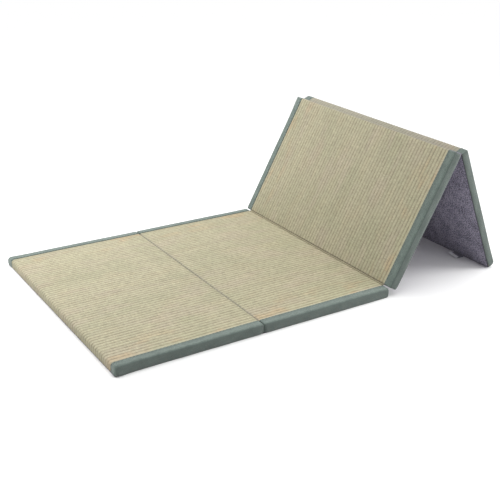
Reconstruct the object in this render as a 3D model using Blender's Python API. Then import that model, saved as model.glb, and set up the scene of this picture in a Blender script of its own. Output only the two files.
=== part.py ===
"""A folding tatami mat of four padded rush panels.

Panels 1 and 2 lie flat, end to end. Panel 3 rises from the fold on the rush side of panel 2, and panel 4
comes down behind it from a fold on the felt side, so that the two stand as a tent on panel 4's foot.

X runs along the open mat, from panel 1's free end towards panel 4, Y across it and Z up. Each panel has
its own frame: u along the mat from the panel's start, v across it and w up from its felt face.
"""

import math

import bmesh
import bpy

# Driving dimensions, in metres
PANEL_LENGTH = 0.500
WIDTH = 0.900
THICKNESS = 0.032
FOLD_GAP = 0.003
LEAN = math.radians(61.4)

# Cloths and what parts them
FELT = 0.003
CLOTH = 0.0012
THIN_CLOTH = 0.001
CLEAR = 0.0003

# The border's strip on the rush face, and the rounding of the padded panels
BORDER = 0.031
CORNER = 0.010
EDGE_DROP = 0.004
FREE_ROLL = 0.010
FOLD_ROLL = 0.005

# The rush face
RIBS = 58
RIB_HEIGHT = 0.0009

# The fold tape and the label loop
TAPE_LEG = 0.010
TAPE_DROP = 0.004
LABEL_WIDTH = 0.040
LABEL_REACH = 0.042
LABEL_FROM_SIDE = 0.120
LABEL_TAB = 0.005
LABEL_BEND = 0.0015
LABEL_PARTING = 0.0006

# Steps in the round stretches, and the angle past which an edge is shaded sharp
CORNER_STEPS = 3
FREE_STEPS = 3
FOLD_STEPS = 2
BEND_STEPS = 4
SHARP = math.radians(40)

PAD_INSET = CLOTH + CLEAR
PAD_BOTTOM = FELT + CLEAR
RUSH_START = BORDER + CLEAR
CORNER_TURNS = [math.pi / 2 * step / CORNER_STEPS for step in range(CORNER_STEPS + 1)]

# Each panel's rolled ends, as (start, end)
ROLLS = {
    1: (FREE_ROLL, FOLD_ROLL),
    2: (FOLD_ROLL, FOLD_ROLL),
    3: (FOLD_ROLL, FOLD_ROLL),
    4: (FOLD_ROLL, FREE_ROLL),
}

COLOURS = {
    "rush": ((0.60, 0.55, 0.37), 0.75),
    "border_cloth": ((0.20, 0.26, 0.22), 0.85),
    "felt": ((0.10, 0.09, 0.13), 0.95),
    "tape": ((0.28, 0.22, 0.13), 0.85),
    "label": ((0.80, 0.80, 0.78), 0.60),
}


def along(point, direction, distance):
    """The (x, z) point at a distance from another."""
    return (point[0] + direction[0] * distance, point[1] + direction[1] * distance)


# Where each panel starts: (x, z) of the start of its felt face, its u direction and its w direction
UP_3 = (math.cos(LEAN), math.sin(LEAN))
OUT_3 = (-math.sin(LEAN), math.cos(LEAN))
RUSH_FOLD = (2 * PANEL_LENGTH + 1.5 * FOLD_GAP, THICKNESS)
START_3 = along(along(RUSH_FOLD, UP_3, FOLD_GAP / 2), OUT_3, -THICKNESS)
FELT_FOLD = along(START_3, UP_3, PANEL_LENGTH + FOLD_GAP / 2)
FELT_DROP = PANEL_LENGTH + FOLD_GAP / 2
FALL = math.asin(FELT_FOLD[1] / FELT_DROP)
DOWN_4 = (math.cos(FALL), -math.sin(FALL))
OUT_4 = (math.sin(FALL), math.cos(FALL))
START_4 = along(FELT_FOLD, DOWN_4, FOLD_GAP / 2)
FOOT = along(FELT_FOLD, DOWN_4, FELT_DROP)

# Each panel's place: the start of its felt face and the turn about Y that leans it
PLACES = {
    1: ((0.0, 0.0), 0.0),
    2: ((PANEL_LENGTH + FOLD_GAP, 0.0), 0.0),
    3: (START_3, -LEAN),
    4: (START_4, FALL),
}


def clear_scene():
    for item in list(bpy.data.objects):
        bpy.data.objects.remove(item, do_unlink=True)


def make_materials():
    materials = {}
    for name, (colour, roughness) in COLOURS.items():
        material = bpy.data.materials.new(name)
        material.use_nodes = True
        shader = material.node_tree.nodes["Principled BSDF"]
        shader.inputs["Base Color"].default_value = (*colour, 1.0)
        shader.inputs["Roughness"].default_value = roughness
        shader.inputs["Metallic"].default_value = 0.0
        material.diffuse_color = (*colour, 1.0)
        materials[name] = material
    return materials


def make_object(name, vertices, faces, material, place=((0.0, 0.0), 0.0)):
    """One closed solid, turned about Y and set down at an (x, z) place."""
    mesh = bpy.data.meshes.new(name)
    mesh.from_pydata(vertices, [], faces)
    bm = bmesh.new()
    bm.from_mesh(mesh)
    bmesh.ops.recalc_face_normals(bm, faces=bm.faces)
    bm.to_mesh(mesh)
    bm.free()
    mesh.materials.append(material)
    mesh.shade_smooth()
    mesh.set_sharp_from_angle(angle=SHARP)
    piece = bpy.data.objects.new(name, mesh)
    bpy.context.collection.objects.link(piece)
    (x, z), turn = place
    piece.location = (x, 0.0, z)
    piece.rotation_euler = (0.0, turn, 0.0)
    return piece


def loft(sections):
    """A closed solid through (v, outline) sections, each outline a closed ring of (x, z) points."""
    count = len(sections[0][1])
    vertices = [(x, v, z) for v, outline in sections for x, z in outline]
    faces = []
    for row in range(len(sections) - 1):
        for step in range(count):
            a = row * count + step
            b = row * count + (step + 1) % count
            faces.append((a, b, b + count, a + count))
    last = (len(sections) - 1) * count
    faces.append(tuple(range(count)))
    faces.append(tuple(range(last, last + count)))
    return vertices, faces


def quarter_turn(radius):
    """Angles round a rolled end, in more steps where it is wide."""
    steps = FREE_STEPS if radius == FREE_ROLL else FOLD_STEPS
    return [math.pi / 2 * step / steps for step in range(steps + 1)]


def panel_outline(rolls, inset, turn=math.pi / 2):
    """Section of a panel from its start, over the rush face, to its end, as (u, w) points.

    inset is how far it lies inside the border cloth's outer face. turn is how far round the corner at
    the panel's long side it is taken: 0 on the side itself, and a quarter turn on the flat face.
    """
    draw_in = inset + (CORNER - inset) * (1 - math.sin(turn))
    top = THICKNESS - inset - (EDGE_DROP - inset) * (1 - math.sin(turn))
    start_roll, end_roll = rolls
    points = [(draw_in, PAD_BOTTOM)]
    radius = start_roll - inset
    for angle in quarter_turn(start_roll):
        points.append((draw_in + radius * (1 - math.cos(angle)), top - radius * (1 - math.sin(angle))))
    radius = end_roll - inset
    for angle in reversed(quarter_turn(end_roll)):
        u = PANEL_LENGTH - draw_in - radius * (1 - math.cos(angle))
        points.append((u, top - radius * (1 - math.sin(angle))))
    points.append((PANEL_LENGTH - draw_in, PAD_BOTTOM))
    return points


def corner_depth(inset, turn):
    """How far in from the panel's long side a turn round its corner lies."""
    return inset + (CORNER - inset) * (1 - math.cos(turn))


def rush_pad(panel, materials):
    """The filled pad: flat under its borders, with the rush face's ribs raised between them."""
    rolls = ROLLS[panel]
    near = [(corner_depth(PAD_INSET, turn), panel_outline(rolls, PAD_INSET, turn)) for turn in CORNER_TURNS]
    half_pitch = (WIDTH - 2 * RUSH_START) / (2 * RIBS)
    ribbed = []
    for step in range(2 * RIBS + 1):
        crest = RIB_HEIGHT if step % 2 else 0.0
        ribbed.append((RUSH_START + step * half_pitch, panel_outline(rolls, PAD_INSET - crest)))
    far = [(WIDTH - v, outline) for v, outline in reversed(near)]
    vertices, faces = loft(near + ribbed + far)
    return make_object(f"rush_pad_{panel}", vertices, faces, materials["rush"], PLACES[panel])


def border(panel, side, materials):
    """The cloth along one long side: a strip of the rush face, the side and the turns onto the ends."""
    rolls = ROLLS[panel]
    layers = []
    for inset in (0.0, CLOTH):
        rows = [(corner_depth(inset, turn), panel_outline(rolls, inset, turn)) for turn in CORNER_TURNS]
        rows.append((BORDER, panel_outline(rolls, inset)))
        layers.append(rows)
    row_count = len(layers[0])
    count = len(layers[0][0][1])
    vertices = []
    for rows in layers:
        for depth, outline in rows:
            v = depth if side == "near" else WIDTH - depth
            vertices.extend((u, v, w) for u, w in outline)

    def index(layer, row, step):
        return (layer * row_count + row) * count + step

    faces = []
    for layer in (0, 1):
        for row in range(row_count - 1):
            for step in range(count - 1):
                faces.append((index(layer, row, step), index(layer, row, step + 1),
                              index(layer, row + 1, step + 1), index(layer, row + 1, step)))
        faces.append(tuple(index(layer, 0, step) for step in range(count)))
    start_edge = [(row, 0) for row in reversed(range(row_count))]
    end_edge = [(row, count - 1) for row in range(row_count)]
    strip_edge = [(row_count - 1, step) for step in range(count - 2, 0, -1)]
    edge = start_edge + end_edge + strip_edge
    for here, there in zip(edge, edge[1:] + edge[:1]):
        faces.append((index(0, *here), index(0, *there), index(1, *there), index(1, *here)))
    return make_object(f"border_{side}_{panel}", vertices, faces, materials["border_cloth"], PLACES[panel])


def felt_sections(outline_at):
    """Sections across a felt sheet whose corners are rounded like the border's."""
    near = []
    for turn in CORNER_TURNS:
        near.append((corner_depth(0.0, turn), outline_at(CORNER * (1 - math.sin(turn)))))
    return near + [(WIDTH - v, outline) for v, outline in reversed(near)]


def flat_felt(materials):
    """The felt under panels 1 and 2, flat and in one piece across their fold."""
    length = 2 * PANEL_LENGTH + FOLD_GAP

    def outline_at(draw_in):
        start, end = draw_in, length - draw_in
        return [(start, 0.0), (start, FELT), (end, FELT), (end, 0.0)]

    vertices, faces = loft(felt_sections(outline_at))
    return make_object("felt_back_1_2", vertices, faces, materials["felt"])


def tent_felt(materials):
    """The felt behind panels 3 and 4, in one piece over the top fold, its foot pressed flat on the floor."""

    def outline_at(draw_in):
        low = along(START_3, UP_3, draw_in)
        outline = [low, along(low, OUT_3, FELT)]
        for step in range(BEND_STEPS + 1):
            turn = LEAN - (LEAN + FALL) * step / BEND_STEPS
            outward = (-math.sin(turn), math.cos(turn))
            outline.append(along(FELT_FOLD, outward, FELT))
        foot = along(FELT_FOLD, DOWN_4, FELT_DROP - draw_in)
        outline.append(along(along(foot, OUT_4, FELT), DOWN_4, FELT / math.tan(FALL)))
        outline.append(foot)
        outline.append(FELT_FOLD)
        return outline

    vertices, faces = loft(felt_sections(outline_at))
    return make_object("felt_back_3_4", vertices, faces, materials["felt"])


def ribbon(points, thickness):
    """The closed outline of a strip that follows (x, z) points down its middle."""
    left, right = [], []
    for step, point in enumerate(points):
        before = points[max(step - 1, 0)]
        after = points[min(step + 1, len(points) - 1)]
        run = (after[0] - before[0], after[1] - before[1])
        length = math.hypot(*run)
        normal = (-run[1] / length, run[0] / length)
        left.append(along(point, normal, thickness / 2))
        right.append(along(point, normal, -thickness / 2))
    return left + right[::-1]


def fold_tape(materials):
    """The cloth strip that joins panels 2 and 3 at the rush face, a leg down each panel's end."""
    reach = PAD_INSET - RIB_HEIGHT - CLEAR - THIN_CLOTH / 2
    leg_2 = (2 * PANEL_LENGTH + FOLD_GAP - reach, THICKNESS - TAPE_DROP)
    rush_3 = along(along(START_3, OUT_3, THICKNESS - TAPE_DROP), UP_3, reach)
    rise = (rush_3[0] - leg_2[0]) / math.sin(LEAN)
    peak = along(rush_3, OUT_3, rise)
    points = [along(leg_2, (0.0, -1.0), TAPE_LEG)]
    for step in range(BEND_STEPS + 1):
        share = step / BEND_STEPS
        weights = ((1 - share) ** 2, 2 * share * (1 - share), share ** 2)
        x = weights[0] * leg_2[0] + weights[1] * peak[0] + weights[2] * rush_3[0]
        z = weights[0] * leg_2[1] + weights[1] * peak[1] + weights[2] * rush_3[1]
        points.append((x, z))
    points.append(along(rush_3, OUT_3, -TAPE_LEG))
    outline = ribbon(points, THIN_CLOTH)
    vertices, faces = loft([(RUSH_START, outline), (WIDTH - RUSH_START, outline)])
    return make_object("fold_tape_2_3", vertices, faces, materials["tape"])


def label_loop(materials):
    """A blank strip folded double, held against the felt at panel 4's foot and lying on the floor."""
    low = CLEAR + THIN_CLOTH / 2
    high = low + THIN_CLOTH + LABEL_PARTING
    into_tent = (-OUT_4[0], -OUT_4[1])
    held = along(FOOT, into_tent, CLEAR + THIN_CLOTH / 2)
    rise = high + LABEL_BEND * (1 + math.cos(FALL)) - held[1]
    tab_foot = along(held, DOWN_4, -rise / math.sin(FALL))
    points = [along(tab_foot, DOWN_4, -LABEL_TAB)]
    bend = along(tab_foot, into_tent, LABEL_BEND)
    for step in range(BEND_STEPS + 1):
        turn = FALL + (math.pi - FALL) * step / BEND_STEPS
        points.append(along(bend, (math.sin(turn), math.cos(turn)), LABEL_BEND))
    half = (high - low) / 2
    tip = (FOOT[0] - LABEL_REACH + half, low + half)
    for step in range(BEND_STEPS + 1):
        turn = math.pi * (0.5 + step / BEND_STEPS)
        points.append(along(tip, (math.cos(turn), math.sin(turn)), half))
    points.append((FOOT[0] - LABEL_TAB, low))
    outline = ribbon(points, THIN_CLOTH)
    sections = [(LABEL_FROM_SIDE, outline), (LABEL_FROM_SIDE + LABEL_WIDTH, outline)]
    vertices, faces = loft(sections)
    return make_object("label_loop", vertices, faces, materials["label"])


def centre_on_floor(pieces):
    """Hang every piece on one empty that puts the middle of the mat's footprint at the origin."""
    bpy.context.view_layer.update()
    xs = [(piece.matrix_world @ vertex.co).x for piece in pieces for vertex in piece.data.vertices]
    middle = bpy.data.objects.new("mat_frame", None)
    bpy.context.collection.objects.link(middle)
    middle.location = (-(min(xs) + max(xs)) / 2, -WIDTH / 2, 0.0)
    for piece in pieces:
        piece.parent = middle


def main():
    clear_scene()
    materials = make_materials()
    pieces = []
    for panel in PLACES:
        pieces.append(rush_pad(panel, materials))
        pieces.append(border(panel, "near", materials))
        pieces.append(border(panel, "far", materials))
    pieces.append(flat_felt(materials))
    pieces.append(tent_felt(materials))
    pieces.append(fold_tape(materials))
    pieces.append(label_loop(materials))
    centre_on_floor(pieces)
    bpy.context.view_layer.update()


main()
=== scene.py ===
"""The looks of a folding tatami mat: four padded rush panels, two lying open and two standing as a tent.

Each panel has its own frame: u along the mat from the panel's start, v across it from its near side and
w up from its felt face. Pieces are built in that frame and then set in place. Their meshes carry a vector
attribute, cloth, that holds a point's place on the flat cloth in metres, so that weave and stems follow
the cloth round its bends.
"""

import math

import bpy
import numpy as np
from mathutils import Matrix, Vector


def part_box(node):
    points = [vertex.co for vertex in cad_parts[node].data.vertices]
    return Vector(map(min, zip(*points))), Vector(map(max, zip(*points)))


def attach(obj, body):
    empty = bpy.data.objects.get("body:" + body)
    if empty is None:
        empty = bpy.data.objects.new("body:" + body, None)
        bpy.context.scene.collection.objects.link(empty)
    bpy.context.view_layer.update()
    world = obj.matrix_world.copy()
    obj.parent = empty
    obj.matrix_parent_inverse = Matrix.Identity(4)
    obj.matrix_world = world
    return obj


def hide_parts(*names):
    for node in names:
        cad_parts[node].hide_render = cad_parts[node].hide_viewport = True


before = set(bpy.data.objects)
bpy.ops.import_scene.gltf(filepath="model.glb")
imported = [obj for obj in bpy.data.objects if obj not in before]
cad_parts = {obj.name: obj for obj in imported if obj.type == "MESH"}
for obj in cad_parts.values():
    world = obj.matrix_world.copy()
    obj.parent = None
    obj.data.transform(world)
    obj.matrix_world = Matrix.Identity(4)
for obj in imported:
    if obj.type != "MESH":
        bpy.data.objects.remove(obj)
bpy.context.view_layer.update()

# Sizes read from the frame, in metres
flat_felt_low, flat_felt_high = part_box("felt_back_1_2")
border_low, border_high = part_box("border_near_1")
WIDTH = flat_felt_high.y - flat_felt_low.y
FELT = flat_felt_high.z
PANEL_LENGTH = border_high.x - border_low.x
THICKNESS = border_high.z
FOLDED_EDGE = 0.0015
BORDER = border_high.y - border_low.y + FOLDED_EDGE
FOLD_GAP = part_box("border_near_2")[0].x - border_high.x
START = Vector((flat_felt_low.x, flat_felt_low.y, 0.0))

# The mat's own sizes, as it is built
LEAN = math.radians(61.4)
CLOTH = 0.0012
THIN_CLOTH = 0.001
CLEAR = 0.0003
CORNER = 0.010
FOLD_CORNER = 0.0045
LONG_EDGE = 0.008
FREE_ROLL = 0.010
FOLD_ROLL = 0.005
RIBS = 58
RIB_HEIGHT = 0.0009
RIB_POWER = 2.4
PAD_INSET = CLOTH + CLEAR
PAD_BOTTOM = FELT + CLEAR
RUSH_START = BORDER + CLEAR
RIB_START = RUSH_START - 0.003
RIB_PITCH = (WIDTH - 2 * RIB_START) / RIBS
STEM_PITCH = 0.0021
NUMBER_STEP = 0.37
QUARTER = math.pi / 2
ROLLS = {
    1: (FREE_ROLL, FOLD_ROLL),
    2: (FOLD_ROLL, FOLD_ROLL),
    3: (FOLD_ROLL, FOLD_ROLL),
    4: (FOLD_ROLL, FREE_ROLL),
}
CORNERS = {
    1: (CORNER, FOLD_CORNER),
    2: (FOLD_CORNER, FOLD_CORNER),
    3: (FOLD_CORNER, FOLD_CORNER),
    4: (FOLD_CORNER, CORNER),
}

# The border's side covers the felt's long edge, away from the panel's ends
FELT_INSET = CLOTH + CLEAR
COVER_RAMP = 0.008

# The border's hem, its row of stitches and the seam along its long edge
HEM = 0.007
HEM_HEIGHT = 0.0006
HEM_OUTER_SLOPE = 0.0012
HEM_INNER_SLOPE = 0.0015
DIP_WIDTH = 0.0011
STITCH_MARGIN = 0.002
STITCH_INSET = 0.0030
STITCH_PITCH = 0.0120
STITCH_LENGTH = 0.0060
STITCH_RADIUS = 0.0007
PUCKER = 0.0004
SEAM_TURN = QUARTER / 2
SEAM_DEPTH = 0.0002
SEAM_WIDTH = 0.0012
SIDE_BULGE = 0.0012

# The stuffing: its crown over the middle of a panel, its unevenness and how far corners stand out
CROWN = 0.0020
UNEVEN = 0.00022
CORNER_PUFF = 0.0040
PUFF_REACH = 0.050

# The corners that stand out, as a panel's end (0 start, 1 end) with shares of the puff along and across
PUFFS = {
    (1, "near"): [(0, (0.7, 1.7))],
    (1, "far"): [(0, (1.2, 1.6))],
    (3, "far"): [(1, (0.0, 1.7))],
    (4, "near"): [(1, (0.0, 0.9))],
    (4, "far"): [(0, (0.0, 1.4)), (1, (0.0, 0.8))],
}

# The border that is narrower at its panel's start, by this share of its width
NARROWED = (1, "near")
NARROWING = 0.15

# How far the rush swells past its wall at a panel's ends, between the borders, by its share of the height
SWELL_HEIGHTS = (0.0, 0.06, 0.16, 0.40, 0.80, 1.0)
SWELLS = (0.0018, 0.0020, 0.0008, 0.0020, 0.0020, 0.0)
SWELL_REACH = 0.012
SWELL_RAMP = 0.004

# The fold tape: how far its legs start below the rush face, and how long they are
TAPE_DROP = 0.0022
TAPE_LEG = 0.010

# The label: how steeply its far side is lifted, how far along the ribbon its tip is, and its threads
LABEL_TILT = 0.18
LABEL_TIP = 0.040
LABEL_THREAD = 0.0005

# The felt's own unevenness, lying flat and in the tent
FLAT_DENT = 0.0002
TENT_DENT = 0.00035

# The camera, as a direction from the point it looks at, and its lens
AZIMUTH = math.radians(-32.96)
ELEVATION = math.radians(22.92)
ROLL = math.radians(1.03)
LOOK_AT = Vector((0.7056, 0.4051, 0.0879))
DISTANCE = 3.1214
SENSOR = 36.0
LENS = 64.0

# The studio's floor, just below the felt, and how far it reaches
FLOOR_DROP = 0.0002
FLOOR_REACH = 30.0

# The studio's light: each lamp's name, place, the point it faces, its size in metres and power in watts
SKY_STRENGTH = 0.475
SUN_STRENGTH = 1.91
SUN_SPREAD = math.radians(60)
LAMPS = (
    ("back_middle", (0.1, 1.6, 1.3), (0.1, 0.2, 0.1), 1.2, 14.5),
    ("back_left", (-1.3, 1.2, 1.1), (0.1, 0.1, 0.1), 0.8, 17.0),
    ("right", (2.0, -1.2, 0.9), (0.5, 0.0, 0.1), 0.8, 17.0),
    ("front", (0.75, -1.2, 0.60), (0.45, -0.40, 0.20), 0.4, 1.8),
)

# Colours in linear light
RUSH_LIGHT = (0.426, 0.394, 0.264)
RUSH_GREEN = (0.374, 0.364, 0.234)
RUSH_PINK = (0.440, 0.379, 0.278)
RUSH_STRAW = (0.480, 0.345, 0.205)
# Painted shade in the valleys between the ribs
RUSH_VALLEY_SHADE = (0.185, 0.160, 0.100)
# Painted highlight along the rush's edge beside the borders
RUSH_RIM_HIGHLIGHT = (0.50, 0.49, 0.39)
# Painted shade on the rush's ends where panels meet at a fold
RUSH_FOLD_END_SHADE = (0.27, 0.26, 0.24)
BORDER_LIGHT = (0.167, 0.212, 0.188)
BORDER_DARK = (0.091, 0.120, 0.107)
# Painted shade on the borders' side walls
BORDER_SIDE_SHADE = (0.060, 0.071, 0.065)
THREAD = (0.050, 0.065, 0.058)
FELT_LIGHT = (0.390, 0.365, 0.460)
FELT_DARK = (0.075, 0.068, 0.098)
# Painted shade along some of the felt's long edges
FELT_EDGE_SHADE = (0.020, 0.020, 0.024)
# Darker, browner felt along its folds
FELT_FOLD_TINT = (0.110, 0.100, 0.070)
TAPE_STRAW = (0.37, 0.33, 0.22)
TAPE_DARK = (0.26, 0.23, 0.15)
# Painted highlight along the label's fold
LABEL_FOLD_HIGHLIGHT = (0.93, 0.94, 0.95)
LABEL_GREY = (0.34, 0.33, 0.38)
LABEL_SHADE = (0.26, 0.25, 0.30)
FLOOR_WHITE = (0.93, 0.93, 0.93)


def along(point, direction, distance):
    """The (x, z) point at a distance from another."""
    return (point[0] + direction[0] * distance, point[1] + direction[1] * distance)


# The folds, as (x, z) points measured from the mat's start
UP_3 = (math.cos(LEAN), math.sin(LEAN))
OUT_3 = (-math.sin(LEAN), math.cos(LEAN))
RUSH_FOLD = (2 * PANEL_LENGTH + 1.5 * FOLD_GAP, THICKNESS)
START_3 = along(along(RUSH_FOLD, UP_3, FOLD_GAP / 2), OUT_3, -THICKNESS)
FELT_DROP = PANEL_LENGTH + FOLD_GAP / 2
FELT_FOLD = along(START_3, UP_3, FELT_DROP)
FALL = math.asin(FELT_FOLD[1] / FELT_DROP)
DOWN_4 = (math.cos(FALL), -math.sin(FALL))
OUT_4 = (math.sin(FALL), math.cos(FALL))
START_4 = along(FELT_FOLD, DOWN_4, FOLD_GAP / 2)
FOOT = along(FELT_FOLD, DOWN_4, FELT_DROP)


def place(x=0.0, z=0.0, turn=0.0):
    """The matrix of a frame that starts at (x, z) on the mat and is turned about Y."""
    return Matrix.Translation(START + Vector((x, 0.0, z))) @ Matrix.Rotation(turn, 4, "Y")


PLACES = {
    1: place(),
    2: place(PANEL_LENGTH + FOLD_GAP),
    3: place(*START_3, -LEAN),
    4: place(*START_4, FALL),
}


# Meshes


def make_mesh(name, points, faces, cloth, matrix, material, replaced=()):
    """One piece of the mat, in place, with its cloth coordinates, riding on the mat's only body."""
    mesh = bpy.data.meshes.new(name)
    mesh.from_pydata([tuple(point) for point in points], [], faces)
    attribute = mesh.attributes.new("cloth", "FLOAT_VECTOR", "POINT")
    attribute.data.foreach_set("vector", np.asarray(cloth, np.float32).ravel())
    mesh.shade_smooth()
    mesh.materials.append(material)
    piece = bpy.data.objects.new(name, mesh)
    bpy.context.scene.collection.objects.link(piece)
    piece.matrix_world = matrix
    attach(piece, "root")
    for node in replaced:
        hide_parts(node)
    return piece


def ring_faces(rows, count):
    """Faces of a closed tube of rows of count points each, with a cap at each end."""
    faces = []
    for row in range(rows - 1):
        for step in range(count):
            a = row * count + step
            b = row * count + (step + 1) % count
            faces.append((a, a + count, b + count, b))
    last = (rows - 1) * count
    faces.append(tuple(range(count)))
    faces.append(tuple(reversed(range(last, last + count))))
    return faces


def rounding(depth, radius):
    """How far a rounded edge falls away at a depth in from its side."""
    inside = radius - np.minimum(depth, radius)
    return radius - np.sqrt(np.maximum(radius**2 - inside**2, 0.0))


def swell(panel, u, v):
    """The padded panel's crown and slight unevenness, in metres, the same for its cloths."""
    waves = np.sin(9.1 * u + 5.3 * v + 2.1 * panel) + np.sin(17.0 * u - 11.0 * v + 0.7 * panel)
    waves = waves + 0.6 * np.sin(31.0 * u + 23.0 * v + 1.3 * panel)
    crown = np.sin(math.pi * np.clip(u / PANEL_LENGTH, 0, 1)) ** 0.6
    return UNEVEN * waves + CROWN * crown * np.sin(math.pi * np.clip(v / WIDTH, 0, 1))


def puffed(points, puffs):
    """Points of a border, with its corners standing out where the stuffing pushes them."""
    u, v, w = points.T
    inward = np.clip(np.minimum(v, WIDTH - v) / BORDER, 0, 1)
    height = np.clip((w - PAD_BOTTOM) / (THICKNESS - PAD_BOTTOM), 0, 1)
    fullness = np.sin(math.pi * (0.25 + 0.62 * height)) * np.sqrt(1 - inward)
    endways, sideways = np.zeros(len(u)), np.zeros(len(u))
    for end, (length_share, width_share) in puffs:
        out = CORNER_PUFF * fullness * np.exp(-((u - end * PANEL_LENGTH) / PUFF_REACH) ** 2)
        endways += (2 * end - 1) * length_share * out
        sideways += np.where(v < WIDTH / 2, -1, 1) * width_share * out
    return points + np.column_stack([endways, sideways, np.zeros(len(u))])


def panel_outline(panel, depth, inset, roll_steps, top_steps, wall_steps=1):
    """Section of a panel at a depth in from its long side, inset below its cloth's outer face.

    It runs from the start's foot, over the rush face, to the end's foot, as rows of u, w and run. run is
    the way along the cloth, equal to u on the flat face.
    """
    own_depth = max(depth - inset, 0.0)
    start_u, end_in = (inset + rounding(own_depth, corner - inset) for corner in CORNERS[panel])
    end_u = PANEL_LENGTH - end_in
    top = THICKNESS - inset - rounding(own_depth, LONG_EDGE - inset)
    start_radius, end_radius = (roll - inset for roll in ROLLS[panel])
    wall = np.linspace(0.0, 1.0, wall_steps + 1)[:-1]
    angles = np.linspace(0.0, QUARTER, roll_steps + 1)
    start_wall = PAD_BOTTOM + wall * (top - start_radius - PAD_BOTTOM)
    end_wall = PAD_BOTTOM + wall[::-1] * (top - end_radius - PAD_BOTTOM)
    flat = np.linspace(start_u + start_radius, end_u - end_radius, top_steps + 1)[1:-1]
    u = np.concatenate([
        np.full(wall_steps, start_u),
        start_u + start_radius * (1 - np.cos(angles)),
        flat,
        end_u - end_radius * (1 - np.cos(angles[::-1])),
        np.full(wall_steps, end_u),
    ])
    w = np.concatenate([
        start_wall,
        top - start_radius * (1 - np.sin(angles)),
        np.full(len(flat), top),
        top - end_radius * (1 - np.sin(angles[::-1])),
        end_wall,
    ])
    steps = np.hypot(np.diff(u), np.diff(w))
    run = np.concatenate([[0.0], np.cumsum(steps)])
    first_flat = wall_steps + roll_steps
    run += u[first_flat] - run[first_flat]
    return u, w, run


# The rush panels


def rib_profile(phase):
    """Height of a rib from its valley, as a share, at a phase from 0 to 1 across it."""
    return 1 - np.abs(2 * phase - 1) ** RIB_POWER


def end_swell(panel, u, w, v):
    """The rush's way out past a panel's end walls, none under the borders or behind the fold tape."""
    between = np.clip((min(v, WIDTH - v) - RUSH_START) / SWELL_RAMP, 0, 1)
    height = np.clip((w - PAD_BOTTOM) / (THICKNESS - PAD_BOTTOM), 0, 1)
    at_start = np.clip(1 - u / SWELL_REACH, 0, 1) * (panel != 3)
    at_end = np.clip(1 - (PANEL_LENGTH - u) / SWELL_REACH, 0, 1) * (panel != 2)
    return between * np.interp(height, SWELL_HEIGHTS, SWELLS) * (at_end - at_start)


def rush_panel(panel, material):
    """A padded panel under its woven rush: flat below the borders and ribbed between them."""
    side_depths = PAD_INSET + np.array([0.0, 0.0003, 0.0010, 0.0020, 0.0035, 0.0055, 0.0085])
    rows = [(depth, PAD_INSET) for depth in side_depths]
    rows.append((RUSH_START, PAD_INSET))
    phases = (0.0, 0.07, 0.20, 0.35, 0.5, 0.65, 0.80, 0.93)
    for rib in range(RIBS):
        for phase in phases:
            v = RIB_START + (rib + phase) * RIB_PITCH
            clear_of_border = min(v, WIDTH - v) - RUSH_START
            if clear_of_border > RIB_HEIGHT / 2:
                height = RIB_HEIGHT * rib_profile(phase) * min(clear_of_border / RIB_HEIGHT, 1.0)
                rows.append((v, PAD_INSET - height))
    rows.append((WIDTH - RUSH_START, PAD_INSET))
    rows.extend((WIDTH - depth, PAD_INSET) for depth in side_depths[::-1])
    points, cloth = [], []
    for v, inset in rows:
        depth = min(v, WIDTH - v)
        u, w, run = panel_outline(panel, depth, inset, roll_steps=7, top_steps=36, wall_steps=5)
        lift = swell(panel, u, v) * np.clip((w - PAD_BOTTOM) / (THICKNESS - PAD_BOTTOM), 0, 1)
        points.append(np.column_stack([u + end_swell(panel, u, w, v), np.full(len(u), v), w + lift]))
        cloth.append(np.column_stack([run, np.full(len(u), v), np.full(len(u), NUMBER_STEP * panel)]))
    count = len(points[0])
    faces = ring_faces(len(rows), count)
    piece = make_mesh(f"rush_panel_{panel}", np.vstack(points), faces, np.vstack(cloth), PLACES[panel],
                      material, [f"rush_pad_{panel}"])
    return piece


# The borders


def hem_height(depth, run):
    """The strip's extra height near its folded edge, with a dip along its row of stitches."""
    inward = BORDER - depth
    outer_slope = np.clip(inward / HEM_OUTER_SLOPE, 0, 1)
    inner_slope = np.clip((HEM - inward) / HEM_INNER_SLOPE, 0, 1)
    hem = HEM_HEIGHT * outer_slope * inner_slope
    tug = PUCKER * (1 - np.cos(2 * math.pi * run / STITCH_PITCH)) / 2
    row = np.exp(-((inward - STITCH_INSET) / DIP_WIDTH) ** 2)
    return hem - row * (0.5 * HEM_HEIGHT + tug) * (hem > 0)


def past_seam(depth):
    """The way over the rounded long edge from its seam, half way round, to a depth on the strip."""
    turn = math.acos(1 - min(depth, LONG_EDGE) / LONG_EDGE)
    return LONG_EDGE * (turn - SEAM_TURN) + max(depth - LONG_EDGE, 0.0)


def narrowed(depth, panel, side, u):
    """The depth of a row of a border at places along it, less where the border is narrower."""
    share = NARROWING * ((panel, side) == NARROWED)
    return depth * (1 - share * np.clip(1 - u / PANEL_LENGTH, 0, 1))


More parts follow.
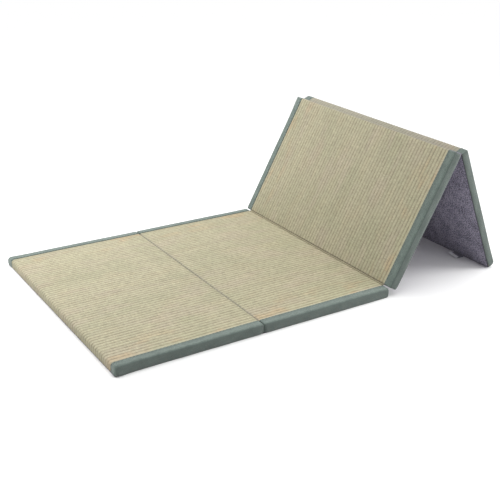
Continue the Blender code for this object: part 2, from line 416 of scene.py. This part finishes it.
def border_strip(panel, side, material):
    """The border cloth of one long side: its strip on the rush, the side wall and both turned ends."""
    wall_steps, roll_steps, top_steps = 6, 10, 160
    edge_turns = np.radians([0, 12, 24, 33, 39, 45, 51, 57, 66, 78, 90])
    hem_rows = BORDER - np.array([HEM, 0.0058, 0.0045, 0.0038, 0.0032, 0.0026, 0.0018, 0.0010, 0.0004, 0.0])
    edge_rows = LONG_EDGE * (1 - np.cos(edge_turns))
    depths = np.concatenate([edge_rows, [0.0105, 0.0140, 0.0180, 0.0215], hem_rows])
    points, cloth = [], []
    for depth in depths:
        u, w, run = panel_outline(panel, depth, 0.0, roll_steps, top_steps, wall_steps)
        seam = past_seam(depth)
        sunk = SEAM_DEPTH * math.exp(-(seam / SEAM_WIDTH) ** 2)
        share = np.clip((w - PAD_BOTTOM) / (THICKNESS - PAD_BOTTOM), 0, 1)
        w = w + share * (swell(panel, u, depth if side == "near" else WIDTH - depth) - sunk)
        w = w + hem_height(depth, run) * (share > 0.9)
        v = narrowed(depth, panel, side, u) + sunk
        v = v if side == "near" else WIDTH - v
        points.append(np.column_stack([u, v, w]))
        seam_row = np.full(len(u), seam)
        cloth.append(np.column_stack([run + panel, seam_row + THICKNESS, seam_row]))
    count = len(points[0])
    faces = []
    for row in range(len(depths) - 1):
        for step in range(count - 1):
            a = row * count + step
            faces.append((a, a + 1, a + 1 + count, a + count))
    faces.extend(side_wall(points, cloth, count, wall_steps))
    points = [puffed(row, PUFFS.get((panel, side), [])) for row in points]
    if side == "far":
        faces = [face[::-1] for face in faces]
    piece = make_mesh(f"border_cloth_{side}_{panel}", np.vstack(points), faces, np.vstack(cloth),
                      PLACES[panel], material, [f"border_{side}_{panel}"])
    solidify = piece.modifiers.new("cloth thickness", "SOLIDIFY")
    solidify.thickness = CLOTH
    solidify.offset = -1.0
    return piece


def side_wall(points, cloth, count, wall_steps):
    """Adds the side wall below the first row of a border, and returns its faces.

    Its columns hang from the row's points between the two walls at the ends, whose own points it shares.
    The third cloth coordinate is the way past the seam, which is negative on this wall.
    """
    top_row = points[0]
    top_cloth = cloth[0]
    seam = top_cloth[0][2]
    columns = range(wall_steps, count - wall_steps)
    first_new = sum(len(row) for row in points)
    new_points, new_cloth = [], []
    index = {}
    for column in columns:
        u, v, top = top_row[column]
        run = top_cloth[column][0]
        for row in range(wall_steps + 1):
            share = row / wall_steps
            if row == wall_steps:
                index[column, row] = column
            elif column == columns[0]:
                index[column, row] = row
            elif column == columns[-1]:
                index[column, row] = count - 1 - row
            else:
                from_end = min(u - top_row[0][0], top_row[-1][0] - u)
                low = PAD_BOTTOM - (PAD_BOTTOM - CLEAR) * min(from_end / COVER_RAMP, 1.0)
                w = low + share * (top - low)
                index[column, row] = first_new + len(new_points)
                bulge = SIDE_BULGE * math.sin(math.pi * share) * (1.3 + math.sin(47.0 * u + 3.0 * run))
                outward = -bulge if v < WIDTH / 2 else bulge
                away = np.hypot(top_row[:, 0] - u, top_row[:, 2] - w).min()
                new_points.append((u, v + outward, w))
                new_cloth.append((run, w, seam - min(away, top - w)))
    points.append(np.array(new_points))
    cloth.append(np.array(new_cloth))
    faces = []
    for column in columns[:-1]:
        for row in range(wall_steps):
            faces.append((index[column, row], index[column + 1, row],
                          index[column + 1, row + 1], index[column, row + 1]))
    return faces


def stitch_row(panel, side, material):
    """The row of machine stitches just inside the border's folded edge."""
    depth = BORDER - STITCH_INSET
    u, w, run = panel_outline(panel, depth, 0.0, roll_steps=12, top_steps=400)
    v = depth if side == "near" else WIDTH - depth
    share = np.clip((w - PAD_BOTTOM) / (THICKNESS - PAD_BOTTOM), 0, 1)
    w = w + swell(panel, u, v) * share + hem_height(depth, run) * (share > 0.9)
    first, last = run[0] + STITCH_MARGIN, run[-1] - STITCH_MARGIN
    middles = np.arange(math.ceil(first / STITCH_PITCH), last / STITCH_PITCH) * STITCH_PITCH
    rings, sides = 5, 6
    points, cloth, faces = [], [], []
    for middle in middles:
        spans = np.linspace(-0.5, 0.5, rings) * STITCH_LENGTH
        centres = np.column_stack([np.interp(middle + spans, run, u), np.interp(middle + spans, run, w)])
        direction = centres[-1] - centres[0]
        direction /= np.linalg.norm(direction)
        outward = np.array([-direction[1], direction[0]])
        inward = narrowed(depth, panel, side, centres[0][0])
        v = inward if side == "near" else WIDTH - inward
        base = len(points)
        for ring, (centre, span) in enumerate(zip(centres, spans)):
            girth = STITCH_RADIUS * math.sqrt(max(1 - (1.9 * span / STITCH_LENGTH) ** 2, 0.06))
            for step in range(sides):
                angle = 2 * math.pi * step / sides
                lift = outward * (girth * math.sin(angle) + 0.4 * girth)
                points.append((centre[0] + lift[0], v + girth * math.cos(angle), centre[1] + lift[1]))
                cloth.append((middle + span, angle * STITCH_RADIUS, ring))
        faces.extend(tuple(base + item for item in face) for face in ring_faces(rings, sides))
    points = puffed(np.array(points), PUFFS.get((panel, side), []))
    return make_mesh(f"stitches_{side}_{panel}", points, faces, cloth, PLACES[panel], material)


# Felt, tape and label


def ribbon(points, thickness, steps):
    """A strip's closed outline about (x, z) points down its middle, with the way along it."""
    middle = smooth(np.array(points, float), steps)
    runs = np.gradient(middle, axis=0)
    runs /= np.linalg.norm(runs, axis=1)[:, None]
    normals = np.column_stack([-runs[:, 1], runs[:, 0]]) * thickness / 2
    way = np.concatenate([[0.0], np.cumsum(np.linalg.norm(np.diff(middle, axis=0), axis=1))])
    outline = np.vstack([middle + normals, (middle - normals)[::-1]])
    return outline, np.concatenate([way, way[::-1]])


def smooth(points, steps):
    """Points on an even curve through the given ones."""
    padded = np.vstack([2 * points[0] - points[1], points, 2 * points[-1] - points[-2]])
    curve = []
    for index in range(1, len(padded) - 2):
        a, b, c, d = padded[index - 1:index + 3]
        for share in np.linspace(0, 1, steps, endpoint=False):
            curve.append(0.5 * (2 * b + (c - a) * share + (2 * a - 5 * b + 4 * c - d) * share**2
                                + (3 * b - a - 3 * c + d) * share**3))
    curve.append(points[-1])
    return np.array(curve)


def sweep(name, outline_at, stations, material, node, mark=0.0):
    """A closed sheet through outlines taken at stations across the mat, in the mat's own frame."""
    points, cloth = [], []
    for v in stations:
        outline, way = outline_at(v)
        points.append(np.column_stack([outline[:, 0], np.full(len(outline), v), outline[:, 1]]))
        cloth.append(np.column_stack([way, np.full(len(way), v), np.full(len(way), mark)]))
    faces = ring_faces(len(stations), len(points[0]))
    return make_mesh(name, np.vstack(points), faces, np.vstack(cloth), place(), material, [node])


def felt_stations():
    """Places across a felt between its borders' sides, close together round the rounded corners."""
    corner = FELT_INSET + (CORNER - FELT_INSET) * (1 - np.cos(np.linspace(0, QUARTER, 7)))
    middle = np.linspace(CORNER, WIDTH - CORNER, 61)[1:-1]
    return np.concatenate([corner, middle, (WIDTH - corner)[::-1]])


def felt_draw_in(v):
    """How far the felt's free ends draw in towards its rounded corners."""
    return float(rounding(min(v, WIDTH - v) - FELT_INSET, CORNER - FELT_INSET))


def flat_felt(material):
    """The felt under panels 1 and 2."""
    length = 2 * PANEL_LENGTH + FOLD_GAP

    def outline_at(v):
        draw_in = felt_draw_in(v)
        x = np.linspace(draw_in, length - draw_in, 90)
        dent = FLAT_DENT * (1 + np.sin(41 * x + 29 * v) * np.sin(37 * v - 23 * x))
        top = np.column_stack([x, np.full(len(x), FELT)])
        under = np.column_stack([x, np.where((x == x[0]) | (x == x[-1]), 0.0, dent)])
        return np.vstack([top, under[::-1]]), np.concatenate([x, x[::-1]])

    # Its mark of 1.0 has the felt material paint shade along this sheet's long edges
    piece = sweep("felt_sheet_1_2", outline_at, felt_stations(), material, "felt_back_1_2", 1.0)
    return piece


def tent_felt(material):
    """The felt behind panels 3 and 4, over the top fold and pressed flat on the floor at panel 4's foot."""

    def outline_at(v):
        draw_in = felt_draw_in(v)
        rise = np.linspace(draw_in, FELT_DROP - FELT, 45)
        fall = np.linspace(FELT, FELT_DROP - draw_in, 45)
        fade_3, fade_4 = (TENT_DENT * np.sin(math.pi * way / FELT_DROP) for way in (rise, fall))
        dent_3 = fade_3 * np.sin(21 * rise + 13 * v) * np.sin(17 * v - 9 * rise)
        dent_4 = fade_4 * np.sin(19 * fall - 15 * v) * np.sin(12 * v + 27 * fall)
        inner = [along(along(START_3, UP_3, s), OUT_3, d) for s, d in zip(rise, dent_3)]
        inner.append(along(FELT_FOLD, (0.0, 1.0), 0.2 * FELT))
        inner.extend(along(along(FELT_FOLD, DOWN_4, s), OUT_4, d) for s, d in zip(fall, dent_4))
        outer = [along(along(START_3, UP_3, s), OUT_3, FELT) for s in rise]
        turns = np.linspace(LEAN, -FALL, 9)
        outer.extend(along(FELT_FOLD, (-math.sin(turn), math.cos(turn)), FELT) for turn in turns)
        foot_spread = FELT / math.tan(FALL)
        spread = fall + foot_spread * (fall / fall[-1]) ** 8
        outer.extend(along(along(FELT_FOLD, DOWN_4, s), OUT_4, FELT) for s in spread)
        ways = [np.linspace(0, 2 * FELT_DROP, len(side)) for side in (inner, outer)]
        return np.array(inner + outer[::-1]), np.concatenate([ways[0], ways[1][::-1]])

    piece = sweep("felt_sheet_3_4", outline_at, felt_stations(), material, "felt_back_3_4")
    return piece


def fold_tape(material):
    """The strip that joins panels 2 and 3 at the rush face, a leg down each panel's end."""
    reach = PAD_INSET - RIB_HEIGHT - CLEAR - THIN_CLOTH / 2
    leg_2 = (2 * PANEL_LENGTH + FOLD_GAP - reach, THICKNESS - TAPE_DROP)
    rush_3 = along(along(START_3, OUT_3, THICKNESS - TAPE_DROP), UP_3, reach)
    rise = (rush_3[0] - leg_2[0]) / math.sin(LEAN)
    peak = along(rush_3, OUT_3, rise)
    middle = ((leg_2[0] + 2 * peak[0] + rush_3[0]) / 4, (leg_2[1] + 2 * peak[1] + rush_3[1]) / 4)
    route = [along(leg_2, (0.0, -1.0), TAPE_LEG), leg_2, middle, rush_3, along(rush_3, OUT_3, -TAPE_LEG)]
    outline, way = ribbon(route, THIN_CLOTH, 6)
    stations = np.linspace(RUSH_START, WIDTH - RUSH_START, 120)
    piece = sweep("fold_strip_2_3", lambda v: (outline, way), stations, material, "fold_tape_2_3")
    return piece


def label_loop(material):
    """A thin blank strip folded double, sewn in at panel 4's foot and lying on the floor."""
    low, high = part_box("label_loop")
    tip = low.x - START.x
    foot = FOOT[0]
    route = [
        (foot - 0.0055, 0.0085),
        (foot - 0.0040, 0.0050),
        (foot - 0.0062, 0.0030),
        (foot - 0.0140, 0.0032),
        (foot - 0.0260, 0.0046),
        (tip + 0.0040, 0.0048),
        (tip + 0.0008, 0.0036),
        (tip + 0.0030, 0.0018),
        (foot - 0.0240, 0.0010),
        (foot - 0.0060, 0.0009),
    ]
    outline, way = ribbon(route, THIN_CLOTH * 0.6, 6)

    def outline_at(v):
        lift = 0.0005 * math.sin(120 * v) + LABEL_TILT * (v - stations[0])
        lift = lift * np.clip((foot - outline[:, 0]) / 0.03, 0, 1) + 0.0004
        return outline + np.column_stack([np.zeros(len(outline)), lift]), way

    stations = np.linspace(low.y, high.y, 25) - START.y
    piece = sweep("label_strip", outline_at, stations, material, "label_loop")
    return piece


# Materials


class Shader:
    """A short way to add a material's nodes and wire them."""

    def __init__(self, name):
        self.material = bpy.data.materials.new(name)
        self.material.use_nodes = True
        self.tree = self.material.node_tree
        self.surface = self.tree.nodes["Principled BSDF"]

    def wire(self, value, socket):
        if isinstance(value, bpy.types.NodeSocket):
            self.tree.links.new(value, socket)
        else:
            socket.default_value = value

    def add(self, kind, values=(), **settings):
        node = self.tree.nodes.new(kind)
        for name, value in settings.items():
            setattr(node, name, value)
        for key, value in dict(values).items():
            self.wire(value, node.inputs[key])
        return node

    def math(self, operation, a, b=0.0):
        return self.add("ShaderNodeMath", {0: a, 1: b}, operation=operation).outputs[0]

    def smooth_step(self, value, low, high):
        values = {"Value": value, "From Min": low, "From Max": high}
        return self.add("ShaderNodeMapRange", values, interpolation_type="SMOOTHSTEP").outputs["Result"]

    def scaled(self, value, low, high):
        values = {"Value": value, "To Min": low, "To Max": high}
        return self.add("ShaderNodeMapRange", values).outputs["Result"]

    def mix(self, share, a, b, blend="MIX"):
        node = self.add("ShaderNodeMix", data_type="RGBA", blend_type=blend)
        self.wire(share, node.inputs["Factor"])
        for value, socket in ((a, node.inputs[6]), (b, node.inputs[7])):
            self.wire((*value, 1.0) if isinstance(value, tuple) else value, socket)
        return node.outputs[2]

    def cloth(self):
        """The way along the cloth, the way across it and the piece's own number."""
        vector = self.add("ShaderNodeAttribute", attribute_name="cloth").outputs["Vector"]
        split = self.add("ShaderNodeSeparateXYZ", {"Vector": vector})
        return vector, split.outputs["X"], split.outputs["Y"], split.outputs["Z"]

    def stretched(self, x, y, z):
        return self.add("ShaderNodeCombineXYZ", {"X": x, "Y": y, "Z": z}).outputs["Vector"]

    def noise(self, vector, scale, detail=2.0, roughness=0.5):
        values = {"Vector": vector, "Scale": scale, "Detail": detail, "Roughness": roughness}
        return self.add("ShaderNodeTexNoise", values).outputs["Fac"]

    def streaks(self, run, across, third, run_scale, across_scale, detail):
        """Noise in streaks, with a scale of its own along the cloth and another across it."""
        vector = self.stretched(self.math("MULTIPLY", run, run_scale),
                                self.math("MULTIPLY", across, across_scale), third)
        return self.noise(vector, 1.0, detail)

    def chance(self, x, y, z):
        """A random value from 0 to 1 for each whole x, y and z."""
        values = {"Vector": self.stretched(x, y, z)}
        return self.add("ShaderNodeTexWhiteNoise", values, noise_dimensions="3D").outputs["Value"]

    def folded_end(self, run, number):
        """1 at a panel's ends that meet another panel and 0 at the mat's two free ends."""
        first = self.math("LESS_THAN", number, 1.5 * NUMBER_STEP)
        last = self.math("GREATER_THAN", number, 3.5 * NUMBER_STEP)
        at_start = self.math("LESS_THAN", run, PANEL_LENGTH / 2)
        at_end = self.math("SUBTRACT", 1.0, at_start)
        free = self.math("ADD", self.math("MULTIPLY", first, at_start), self.math("MULTIPLY", last, at_end))
        return self.math("SUBTRACT", 1.0, free)

    def rush_hues(self, vector, run, across, number):
        """The rush's slow changes of hue: greener and pinker stretches, and straw near the borders."""
        patch = self.noise(vector, 7.0, 3.0)
        streak = self.streaks(run, across, number, 5.0, 16.0, 3.0)
        fleck = self.streaks(run, across, number, 9.0, 26.0, 2.0)
        side = self.math("MINIMUM", across, self.math("SUBTRACT", WIDTH, across))
        near = self.math("SUBTRACT", 1.0, self.smooth_step(side, BORDER + 0.01, 0.16))
        green = self.math("MULTIPLY", self.smooth_step(patch, 0.42, 0.66), 0.6)
        pink = self.math("MULTIPLY", self.smooth_step(streak, 0.48, 0.68), 0.6)
        straw = self.math("MULTIPLY", self.smooth_step(fleck, 0.50, 0.66), self.scaled(near, 0.08, 0.55))
        colour = self.mix(green, RUSH_LIGHT, RUSH_GREEN)
        colour = self.mix(pink, colour, RUSH_PINK)
        return self.mix(straw, colour, RUSH_STRAW)

    def bump(self, height, distance):
        values = {"Height": height, "Distance": distance, "Strength": 1.0}
        return self.add("ShaderNodeBump", values).outputs["Normal"]


def rush_material():
    """Woven rush: stems across the panel in ribs, with painted shade in the valleys between them, where the
    warp lines run.
    """
    shader = Shader("woven_rush")
    vector, run, across, number = shader.cloth()
    ribs = shader.math("DIVIDE", shader.math("SUBTRACT", across, RIB_START), RIB_PITCH)
    rib = shader.math("FLOOR", ribs)
    centred = shader.math("ABSOLUTE", shader.math("SUBTRACT", shader.math("FRACT", ribs), 0.5))
    odd = shader.math("MODULO", shader.math("ABSOLUTE", rib), 2.0)
    drift = shader.noise(shader.stretched(run, across, number), 22.0, 1.0)
    stems = shader.math("ADD", shader.math("DIVIDE", run, STEM_PITCH), shader.math("MULTIPLY", odd, 0.5))
    stems = shader.math("ADD", stems, shader.math("MULTIPLY", drift, 1.6))
    stem = shader.math("FLOOR", stems)
    stem_round = shader.math("SINE", shader.math("MULTIPLY", shader.math("FRACT", stems), math.pi))
    own = shader.chance(stem, rib, number)
    whole = shader.chance(stem, number, 3.0)
    clump = shader.streaks(run, across, number, 170.0, 22.0, 2.0)
    turned = shader.math("ABSOLUTE", shader.math("SUBTRACT", odd, clump))

    colour = shader.rush_hues(vector, run, across, number)
    shade = shader.scaled(own, 0.86, 1.10)
    shade = shader.math("MULTIPLY", shade, shader.scaled(whole, 0.94, 1.06))
    # Painted shade at each stem's edges, where the round stems curve away
    shade = shader.math("MULTIPLY", shade, shader.scaled(stem_round, 0.82, 1.04))
    shade = shader.math("MULTIPLY", shade, shader.scaled(turned, 0.80, 1.15))
    shade = shader.math("MULTIPLY", shade, shader.scaled(shader.chance(rib, number, 5.0), 0.96, 1.04))
    colour = shader.mix(1.0, colour, shader.stretched(shade, shade, shade), "MULTIPLY")
    # Painted shade in the valleys between the ribs, deeper in knots along them
    knots = shader.streaks(run, across, number, 70.0, 75.0, 3.0)
    valley = shader.smooth_step(centred, 0.20, 0.46)
    depth = shader.scaled(shader.smooth_step(knots, 0.38, 0.66), 0.40, 0.88)
    valley = shader.math("MULTIPLY", valley, depth)
    colour = shader.mix(valley, colour, RUSH_VALLEY_SHADE)
    # A painted highlight along the rush's edge beside each border
    side = shader.math("MINIMUM", across, shader.math("SUBTRACT", WIDTH, across))
    rim_highlight = shader.math("SUBTRACT", 1.0, shader.smooth_step(side, BORDER + 0.002, BORDER + 0.006))
    colour = shader.mix(shader.math("MULTIPLY", rim_highlight, 0.25), colour, RUSH_RIM_HIGHLIGHT)
    # Painted shade on the rush's end faces where panels meet at a fold
    beyond = shader.math("MAXIMUM", shader.math("SUBTRACT", FOLD_ROLL / 2, run),
                         shader.math("SUBTRACT", run, PANEL_LENGTH - FOLD_ROLL / 2))
    fold_end_shade = shader.smooth_step(beyond, -0.004, 0.004)
    fold_end_shade = shader.math("MULTIPLY", fold_end_shade, shader.folded_end(run, number))
    colour = shader.mix(shader.math("MULTIPLY", fold_end_shade, 0.45), colour, RUSH_FOLD_END_SHADE)
    shader.wire(colour, shader.surface.inputs["Base Color"])

    fibre = shader.streaks(run, across, number, 2600.0, 160.0, 2.0)
    rib_round = shader.math("SUBTRACT", 1.0, shader.math("MULTIPLY", centred, 1.6))
    height = shader.math("MULTIPLY", stem_round, rib_round)
    height = shader.math("ADD", height, shader.math("MULTIPLY", own, 0.35))
    height = shader.math("ADD", height, shader.math("MULTIPLY", fibre, 0.12))
    shader.wire(shader.bump(height, 0.00035), shader.surface.inputs["Normal"])
    shader.wire(shader.scaled(own, 0.50, 0.68), shader.surface.inputs["Roughness"])
    shader.surface.inputs["Specular IOR Level"].default_value = 0.3
    return shader.material


def woven_material(name, light, dark, thread, roughness, sheen, side=None):
    """Plain woven cloth: threads over and under, uneven in colour, and with painted shade on a border's
    side wall.
    """
    shader = Shader(name)
    vector, run, across, number = shader.cloth()
    angle = 2 * math.pi / thread
    warp = shader.math("SINE", shader.math("MULTIPLY", run, angle))
    weft = shader.math("SINE", shader.math("MULTIPLY", across, angle))
    weave = shader.math("MULTIPLY", warp, weft)
    slub = shader.streaks(run, across, number, 70.0, 900.0, 2.0)
    slub_across = shader.streaks(run, across, number, 900.0, 70.0, 2.0)
    heather = shader.math("MULTIPLY", shader.math("ADD", slub, slub_across), 0.5)
    mottle = shader.noise(vector, 210.0, 3.0, 0.6)
    broad = shader.noise(vector, 32.0, 3.0)
    tone = shader.math("ADD", shader.math("MULTIPLY", heather, 0.35), shader.math("MULTIPLY", mottle, 0.40))
    tone = shader.math("ADD", tone, shader.math("MULTIPLY", broad, 0.25))
    tone = shader.math("ADD", tone, shader.math("MULTIPLY", weave, 0.04))
    colour = shader.mix(shader.smooth_step(tone, 0.36, 0.64), dark, light)
    if side is not None:
        # Painted shade on a border's side wall, patchy with the mottle
        below = shader.math("SUBTRACT", 1.0, shader.smooth_step(number, -0.0008, 0.0008))
        painted_side_shade = shader.math("MULTIPLY", below, shader.scaled(mottle, 0.10, 0.90))
        colour = shader.mix(painted_side_shade, colour, side)
        from_seam = shader.math("ABSOLUTE", number)
        seam = shader.math("SUBTRACT", 1.0, shader.smooth_step(from_seam, 0.0004, 0.0020))
        colour = shader.mix(shader.math("MULTIPLY", seam, 0.05), colour, THREAD)
    shader.wire(colour, shader.surface.inputs["Base Color"])
    height = shader.math("ADD", shader.math("MULTIPLY", weave, 0.5), heather)
    shader.wire(shader.bump(height, 0.00018), shader.surface.inputs["Normal"])
    shader.surface.inputs["Roughness"].default_value = roughness
    shader.surface.inputs["Sheen Weight"].default_value = sheen
    shader.surface.inputs["Specular IOR Level"].default_value = 0.3
    return shader.material


def felt_material():
    """Needle felt: matted fibres in mottled purple and grey, darker and browner along the folds, with
    painted shade along some long edges.
    """
    shader = Shader("needle_felt")
    vector, run, across, edge_shaded = shader.cloth()
    mottle = shader.noise(vector, 190.0, 4.0, 0.65)
    patch = shader.noise(vector, 24.0, 3.0)
    strands = shader.streaks(run, across, patch, 1100.0, 260.0, 3.0)
    strands_across = shader.streaks(run, across, patch, 240.0, 1200.0, 3.0)
    fibres = shader.math("MAXIMUM", strands, strands_across)
    tone = shader.math("ADD", shader.math("MULTIPLY", mottle, 0.55), shader.math("MULTIPLY", fibres, 0.30))
    tone = shader.math("ADD", tone, shader.math("MULTIPLY", patch, 0.15))
    colour = shader.mix(shader.smooth_step(tone, 0.45, 0.59), FELT_DARK, FELT_LIGHT)
    # Painted shade along the long edges of the flat felt and of panel 4's felt
    side = shader.math("MINIMUM", across, shader.math("SUBTRACT", WIDTH, across))
    edge = shader.math("SUBTRACT", 1.0, shader.smooth_step(side, 0.002, 0.006))
    panel_4 = shader.smooth_step(run, FELT_DROP - 0.005, FELT_DROP + 0.005)
    edge = shader.math("MULTIPLY", edge, shader.math("MAXIMUM", edge_shaded, panel_4))
    # The felt is darker and browner along its folds
    from_fold = shader.math("ABSOLUTE", shader.math("SUBTRACT", run, FELT_DROP))
    fold = shader.math("SUBTRACT", 1.0, shader.smooth_step(from_fold, 0.005, 0.010))
    colour = shader.mix(shader.math("MULTIPLY", fold, 0.85), colour, FELT_FOLD_TINT)
    colour = shader.mix(shader.math("MULTIPLY", edge, 0.9), colour, FELT_EDGE_SHADE)
    shader.wire(colour, shader.surface.inputs["Base Color"])
    height = shader.math("ADD", shader.math("MULTIPLY", mottle, 1.0), shader.math("MULTIPLY", fibres, 0.5))
    shader.wire(shader.bump(height, 0.0006), shader.surface.inputs["Normal"])
    shader.surface.inputs["Roughness"].default_value = 0.95
    shader.surface.inputs["Sheen Weight"].default_value = 0.25
    shader.surface.inputs["Specular IOR Level"].default_value = 0.15
    return shader.material


def label_material():
    """Thin blank ribbon: a grey middle, and a pale painted highlight where it is folded double at its tip.
    """
    shader = Shader("blank_label")
    vector, run = shader.cloth()[:2]
    weave = shader.math("SINE", shader.math("MULTIPLY", run, 2 * math.pi / LABEL_THREAD))
    broad = shader.noise(vector, 90.0, 2.0)
    # A painted highlight along the fold at the label's tip
    from_tip = shader.math("ABSOLUTE", shader.math("SUBTRACT", run, LABEL_TIP))
    fold_highlight = shader.math("SUBTRACT", 1.0, shader.smooth_step(from_tip, 0.007, 0.010))
    colour = shader.mix(broad, LABEL_GREY, LABEL_SHADE)
    shader.wire(shader.mix(fold_highlight, colour, LABEL_FOLD_HIGHLIGHT), shader.surface.inputs["Base Color"])
    shader.wire(shader.bump(weave, 0.00005), shader.surface.inputs["Normal"])
    shader.surface.inputs["Roughness"].default_value = 0.4
    return shader.material


# The studio


def studio(floor_material):
    """A plain pale floor, soft light from all round and above, and four smaller lamps.

    Two lamps behind the mat make its far side brighter, one at the right reaches under the tent, and one
    in front lights the borders' sides.
    """
    mesh = bpy.data.meshes.new("studio_floor")
    reach = FLOOR_REACH
    mesh.from_pydata([(-reach, -reach, 0), (reach, -reach, 0), (reach, reach, 0), (-reach, reach, 0)], [],
                     [(0, 1, 2, 3)])
    mesh.materials.append(floor_material)
    floor = bpy.data.objects.new("studio_floor", mesh)
    floor.location.z = -FLOOR_DROP
    bpy.context.scene.collection.objects.link(floor)

    world = bpy.data.worlds.new("studio_light")
    world.use_nodes = True
    background = world.node_tree.nodes["Background"]
    background.inputs["Color"].default_value = (1.0, 1.0, 1.0, 1.0)
    background.inputs["Strength"].default_value = SKY_STRENGTH
    bpy.context.scene.world = world

    for name, where, towards, size, power in LAMPS:
        data = bpy.data.lights.new(name, "AREA")
        data.size = size
        data.energy = power
        hang(name, data, where, towards)
    sun = bpy.data.lights.new("above", "SUN")
    sun.energy = SUN_STRENGTH
    sun.angle = SUN_SPREAD
    hang("above", sun, (0.3, 0.1, 1.9), (0.0, 0.0, 0.0))


def hang(name, data, where, towards):
    """A lamp at a place, facing a point."""
    lamp = bpy.data.objects.new(name, data)
    lamp.location = where
    lamp.rotation_euler = (Vector(towards) - Vector(where)).to_track_quat("-Z", "Y").to_euler()
    bpy.context.scene.collection.objects.link(lamp)


def camera():
    """The photograph's view: its direction, distance, lens and slight roll."""
    data = bpy.data.cameras.new("camera")
    data.sensor_width = SENSOR
    data.lens = LENS
    data.clip_end = 100.0
    item = bpy.data.objects.new("camera", data)
    back = Vector((
        math.sin(AZIMUTH) * math.cos(ELEVATION),
        -math.cos(AZIMUTH) * math.cos(ELEVATION),
        math.sin(ELEVATION),
    ))
    level_right = Vector((math.cos(AZIMUTH), math.sin(AZIMUTH), 0.0))
    level_up = back.cross(level_right)
    right = level_right * math.cos(ROLL) + level_up * math.sin(ROLL)
    up = level_up * math.cos(ROLL) - level_right * math.sin(ROLL)
    matrix = Matrix((right, up, back)).transposed().to_4x4()
    matrix.translation = START + LOOK_AT + back * DISTANCE
    item.matrix_world = matrix
    bpy.context.scene.collection.objects.link(item)
    bpy.context.scene.camera = item


def floor_material():
    shader = Shader("studio_floor")
    shader.surface.inputs["Base Color"].default_value = (*FLOOR_WHITE, 1.0)
    shader.surface.inputs["Roughness"].default_value = 0.9
    shader.surface.inputs["Specular IOR Level"].default_value = 0.0
    return shader.material


def main():
    camera()
    studio(floor_material())
    bpy.context.scene.view_settings.view_transform = "Standard"
    rush = rush_material()
    border_cloth = woven_material("border_weave", BORDER_LIGHT, BORDER_DARK, 0.0008, 0.8, 0.2, BORDER_SIDE_SHADE)
    thread = woven_material("sewing_thread", THREAD, THREAD, 0.0006, 0.7, 0.0)
    felt = felt_material()
    tape = woven_material("fold_tape_weave", TAPE_STRAW, TAPE_DARK, 0.0008, 0.8, 0.05)
    for panel in PLACES:
        pad = rush_panel(panel, rush)
        for side in ("near", "far"):
            border_strip(panel, side, border_cloth)
            stitch_row(panel, side, thread)
    flat_felt(felt)
    tent_felt(felt)
    fold_tape(tape)
    label_loop(label_material())


main()
